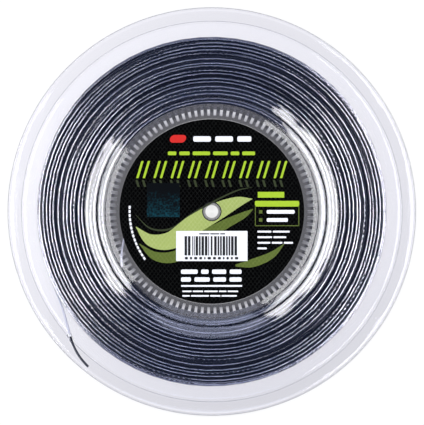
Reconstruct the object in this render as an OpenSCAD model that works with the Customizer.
// Reel of racket string: two clear mouldings pressed together, the string wound
// between them, and the label and stickers on the front hub panel.
// The reel's axis is Z. Z = 0 is the rear hub panel's face, which the reel lies on.

/* [Flanges] */
// Outer diameter of both flanges
reel_d = 244; // [238:1:280]
// Distance between the two flange webs
gap_w = 18; // [14:0.5:24]
// Thickness of the flange webs, skirts and hub panels
web_t = 1.8; // [1.2:0.1:2.4]
// How far the round bead along each rim stands proud of the web's faces
bead_over = 0.1; // [0.1:0.05:0.6]
// How far each hub panel stands proud of its web
hub_rise = 2; // [1:0.1:3]
// Radial width of the sloping skirt between drum and web
skirt_w = 12.5; // [8:0.5:18]
// Radial distance from the drum to the groove in the skirt
groove_off = 5; // [3:0.5:6]
// Depth of the groove in the skirt
groove_h = 0.3; // [0.1:0.05:0.6]

/* [Drum] */
// Diameter that the string is wound on
drum_d = 128; // [124:1:134]
// Wall of the drum sleeve
sleeve_t = 1.5; // [1:0.1:2]
// Number of splines inside the drum sleeve
spline_n = 98; // [40:1:104]
// Radial height of the splines
spline_h = 2; // [1:0.1:2.4]
// Width of the splines
spline_w = 1.8; // [0.8:0.1:2.1]
// Height of the rear moulding's spigot ring
spigot_h = 6; // [3:0.5:9]
// Wall of the spigot ring
spigot_t = 1.5; // [1:0.1:2.5]

/* [Spindle] */
// Diameter of the bore through the whole reel
bore_d = 10; // [8:0.1:12]
// Wall of the spindle tube
tube_t = 2; // [1.5:0.1:3]
// Wall of the collar that the spindle tube's end stands in
collar_t = 1.4; // [1:0.1:2]
// Depth of that collar
collar_h = 3; // [2:0.5:5]
// Radial clearance of the spigot ring and of the spindle tube's end
fit_gap = 0.15; // [0.1:0.05:0.25]

/* [String] */
// Diameter of the string
string_d = 1.35; // [1.1:0.01:1.4]
// Diameter of the wound string where it meets the webs
wound_d = 205.6; // [190:0.1:205.6]
// How far the wound string swells at the middle of its width
crown_h = 3.2; // [1:0.1:3.2]
// Clearance between the wound string's solid and the mouldings
wind_gap = 0.1; // [0.05:0.05:0.2]
// Distance from the drum to the first of the valleys between turns of the string
valley_off = 6; // [4:0.1:10]
// Radial distance between those valleys
valley_step = 12.6; // [8.4:0.1:16.8]
// Depth of those valleys
valley_h = 1.2; // [0.6:0.1:1.4]
// Distance from the rim to the slot in the front web that the string's end comes out of
slot_inset = 8.7; // [8:0.1:10]
// Length of that slot
slot_len = 6.8; // [6.6:0.1:8]
// Width of that slot
slot_w = 2.6; // [2.4:0.1:3.5]
// Diameter of the hole in the drum that the string's first end goes through
start_hole_d = 2.4; // [2.2:0.1:3]

/* [Labels] */
// Diameter of the round face label
label_d = 109.4; // [90:0.1:116]
// Thickness of the face label
label_t = 0.2; // [0.1:0.05:0.4]
// Diameter of the label's centre hole beyond the bore's
label_hole_over = 0.4; // [0.2:0.1:2]
// Width of the barcode sticker
barcode_w = 42.2; // [30:0.1:50]
// Height of the barcode sticker
barcode_h = 17.8; // [10:0.1:20]
// Distance from the label's lower edge to the barcode sticker
barcode_edge = 25.4; // [18:0.1:26]
// Width of the security sticker
tag_w = 19.5; // [12:0.1:22]
// Height of the security sticker
tag_h = 20.1; // [12:0.1:22]
// Distance from the label's left edge to the security sticker
tag_edge = 16.3; // [10:0.1:18]
// Distance of the security sticker's centre above the axis
tag_up = 6.8; // [4:0.1:16]
// Thickness of both stickers
sticker_t = 0.1; // [0.05:0.05:0.2]

/* [Hidden] */

round_fn = 96;                          // true circles in the exact solids
clear = [0.86, 0.88, 0.94, 0.45];       // clear polystyrene

bore_r = bore_d / 2;
drum_r = drum_d / 2;
skirt_r = drum_r + skirt_w;             // where the skirt meets the flat web
groove_r = drum_r + groove_off;
bead_d = web_t + 2 * bead_over;         // diameter of the rim bead
bead_r = reel_d / 2 - bead_d / 2;       // centre line of the rim bead
spline_r = drum_r - sleeve_t - spline_h; // tips of the splines
spigot_r = spline_r - fit_gap;          // outside of the spigot ring
tube_r = bore_r + tube_t;               // outside of the spindle tube

total_h = gap_w + 2 * (web_t + hub_rise);
mid_z = total_h / 2;
front_web_z = mid_z + gap_w / 2;        // inner face of the front web
drum_z = web_t;                         // inner face of the rear hub panel
drum_h = total_h - 2 * web_t;           // between the two hub panels
front_panel_z = total_h - web_t;        // inner face of the front hub panel
label_z = total_h;
sticker_z = label_z + label_t;
tail_r = wound_d / 2 + crown_h + string_d / 2 + wind_gap; // where the free end leaves
slot_r = reel_d / 2 - slot_inset;

// The string's outer end, from the wound string to its cut end in front of the flange.
// Each point is an angle, the share of the way from the wound string out to the slot's
// radius, and the height over the front web's inner face. TAIL_HOLE is the one in the slot.
TAIL_HOLE = 11;
TAIL_POINTS = [
    [200, 0.00, -7.8], [202, 0.01, -7.7], [204, 0.03, -7.6], [206, 0.07, -7.5],
    [208, 0.13, -7.3], [210, 0.21, -7.0], [212, 0.30, -6.5], [214, 0.40, -5.7],
    [216, 0.53, -4.6], [218, 0.67, -3.1], [220, 0.83, -1.3], [222, 1.00, 0.9],
    [224, 1.15, 2.9], [226, 1.28, 4.2], [228, 1.39, 5.0], [230, 1.47, 5.4],
    [231.5, 1.51, 5.6]];

// The string's first end, through the drum wall to its cut end inside the drum.
// Each point is an angle, the depth inside the drum's surface, and the distance behind
// the front hub panel. START_HOLE is where it comes out of the wall.
START_HOLE = 2;
START_POINTS = [
    [212.0, 0.8, 3.8], [209.7, 1.9, 3.9], [207.4, 3.0, 4.0], [205.1, 4.2, 4.2],
    [202.7, 5.5, 4.5], [200.3, 6.9, 5.0], [197.8, 8.3, 5.6], [195.3, 9.7, 6.4],
    [192.8, 11.1, 7.3], [190.3, 12.4, 8.3], [187.8, 13.6, 9.4], [185.3, 14.7, 10.6],
    [182.8, 15.7, 11.9]];

// The point at radius r, angle a and height z
function polar(r, a, z) = [r * cos(a), r * sin(a), z];

TAIL_ROUTE = [for (p = TAIL_POINTS)
    polar(tail_r + p[1] * (slot_r - tail_r), p[0], front_web_z + p[2])];
START_ROUTE = [for (p = START_POINTS) polar(drum_r - p[1], p[0], front_panel_z - p[2])];

cord_sides = 8;

function unit(v) = v / norm(v);

// Direction of a route at its point i
function heading(route, i) =
    unit(route[min(i + 1, len(route) - 1)] - route[max(i - 1, 0)]);

// One ring of a tube of radius r around point i of a route that never stands upright
function ring(route, i, r) =
    let (t = heading(route, i), side = unit(cross(t, [0, 0, 1])), up = cross(side, t))
    [for (k = [0 : cord_sides - 1])
        let (a = 360 * (k + 0.5) / cord_sides)
        route[i] + r * (cos(a) * side + sin(a) * up)];

// FACETED: a string's free end as a tube with one ring at each of its route's points
module cord_tube(route, d) {
    n = len(route);
    m = cord_sides;
    points = [for (i = [0 : n - 1]) each ring(route, i, d / 2)];
    walls = [for (i = [0 : n - 2], k = [0 : m - 1])
        [i * m + k, i * m + (k + 1) % m, (i + 1) * m + (k + 1) % m, (i + 1) * m + k]];
    first_end = [for (k = [m - 1 : -1 : 0]) k];
    last_end = [for (k = [0 : m - 1]) (n - 1) * m + k];
    polyhedron(points, concat([first_end], walls, [last_end]), convexity = 4);
}

// Section of a flange, with the web's inner face at y = 0 and its outer face above
module flange_section() {
    slope = atan2(hub_rise, skirt_w);
    groove_y = web_t + hub_rise * (1 - groove_off / skirt_w);
    difference() {
        union() {
            polygon([
                [bore_r, hub_rise], [drum_r, hub_rise], [skirt_r, 0], [bead_r, 0],
                [bead_r, web_t], [skirt_r, web_t], [drum_r, hub_rise + web_t],
                [bore_r, hub_rise + web_t]]);
            translate([bead_r, web_t / 2]) circle(d = bead_d, $fn = round_fn);
        }
        translate([groove_r, groove_y]) rotate(45 - slope)
            square(groove_h * sqrt(2), center = true);
    }
}

module tube(r, wall, h) {
    difference() {
        cylinder(r = r, h = h, $fn = round_fn);
        translate([0, 0, -1]) cylinder(r = r - wall, h = h + 2, $fn = round_fn);
    }
}

// Slot with round ends along X, through the front web
module tail_slot() {
    reach = (slot_len - slot_w) / 2;
    linear_extrude(4 * web_t, center = true) {
        square([2 * reach, slot_w], center = true);
        for (side = [-1, 1]) translate([side * reach, 0]) circle(d = slot_w, $fn = round_fn);
    }
}

module front_flange() {
    hole = TAIL_ROUTE[TAIL_HOLE];
    along = heading(TAIL_ROUTE, TAIL_HOLE);
    color(clear) difference() {
        union() {
            translate([0, 0, front_web_z])
                rotate_extrude($fn = round_fn) flange_section();
            translate([0, 0, front_panel_z - collar_h])
                tube(tube_r + fit_gap + collar_t, collar_t, collar_h + web_t / 2);
        }
        translate([hole.x, hole.y, front_web_z + web_t / 2])
            rotate(atan2(along.y, along.x)) tail_slot();
    }
}

module rear_flange() {
    color(clear) translate([0, 0, mid_z - gap_w / 2]) mirror([0, 0, 1])
        rotate_extrude($fn = round_fn) flange_section();
}

// Hole through the drum wall along the first stretch of the string's inner end
module start_hole() {
    from = START_ROUTE[0];
    way = START_ROUTE[START_HOLE] - from;
    reach = 12;
    translate(from) rotate([0, 90, atan2(way.y, way.x)])
        cylinder(d = start_hole_d, h = 2 * reach, center = true, $fn = round_fn);
}

module drum_sleeve() {
    color(clear) difference() {
        translate([0, 0, drum_z]) linear_extrude(drum_h) {
            difference() {
                circle(r = drum_r, $fn = round_fn);
                circle(r = drum_r - sleeve_t, $fn = round_fn);
            }
            for (i = [0 : spline_n - 1]) rotate(360 * i / spline_n)
                translate([spline_r, -spline_w / 2])
                    square([spline_h + sleeve_t / 2, spline_w]);
        }
        start_hole();
    }
}

module spigot_ring() {
    color(clear) translate([0, 0, drum_z]) tube(spigot_r, spigot_t, spigot_h);
}

module spindle_tube() {
    color(clear) translate([0, 0, drum_z]) tube(tube_r, tube_t, drum_h);
}

// Square that cuts a valley into a face through the point [r, y]
module valley(r, y) {
    translate([r, y]) rotate(45) square(valley_h * sqrt(2), center = true);
}

// The wound string as one body: it fills the drum's width between the skirts and
// swells outwards at the middle. The main valleys between its turns are cut into it.
module string_winding() {
    steps = 10;
    inner_r = drum_r + wind_gap;
    wound_r = wound_d / 2;
    half = gap_w / 2 - wind_gap;            // half width over the flat webs
    hub_half = half + hub_rise;             // half width at the drum
    function crown_r(y) = wound_r + crown_h * (1 - pow(y / half, 2));
    function face_y(r) =
        half + hub_rise * max(0, (skirt_r - r) / (skirt_r - inner_r));
    crown = [for (i = [0 : steps]) let (y = half * (2 * i / steps - 1)) [crown_r(y), y]];
    color([0.36, 0.38, 0.47]) translate([0, 0, mid_z]) rotate_extrude($fn = round_fn)
        difference() {
            polygon(concat([[inner_r, hub_half], [inner_r, -hub_half], [skirt_r, -half]],
                           crown, [[skirt_r, half]]));
            for (side = [-1, 1]) {
                for (r = [drum_r + valley_off : valley_step : wound_r - 2 * valley_h])
                    valley(r, side * face_y(r));
                valley(crown_r(gap_w / 3), side * gap_w / 3);
            }
        }
}

module string_tail() {
    color([0.36, 0.38, 0.47]) cord_tube(TAIL_ROUTE, string_d);
}

module string_start() {
    color([0.36, 0.38, 0.47]) cord_tube(START_ROUTE, string_d);
}

module face_label() {
    color([0.03, 0.03, 0.03]) translate([0, 0, label_z]) difference() {
        cylinder(d = label_d, h = label_t, $fn = round_fn);
        translate([0, 0, -1])
            cylinder(d = bore_d + label_hole_over, h = label_t + 2, $fn = round_fn);
    }
}

module sticker(w, h, x, y) {
    translate([x, y, sticker_z + sticker_t / 2]) cube([w, h, sticker_t], center = true);
}

module barcode_sticker() {
    drop = label_d / 2 - barcode_edge - barcode_h / 2;
    color("white") sticker(barcode_w, barcode_h, 0, -drop);
}

module security_sticker() {
    left = label_d / 2 - tag_edge - tag_w / 2;
    color([0.09, 0.2, 0.2]) sticker(tag_w, tag_h, -left, tag_up);
}

front_flange();
rear_flange();
drum_sleeve();
spigot_ring();
spindle_tube();
string_winding();
string_tail();
string_start();
face_label();
barcode_sticker();
security_sticker();
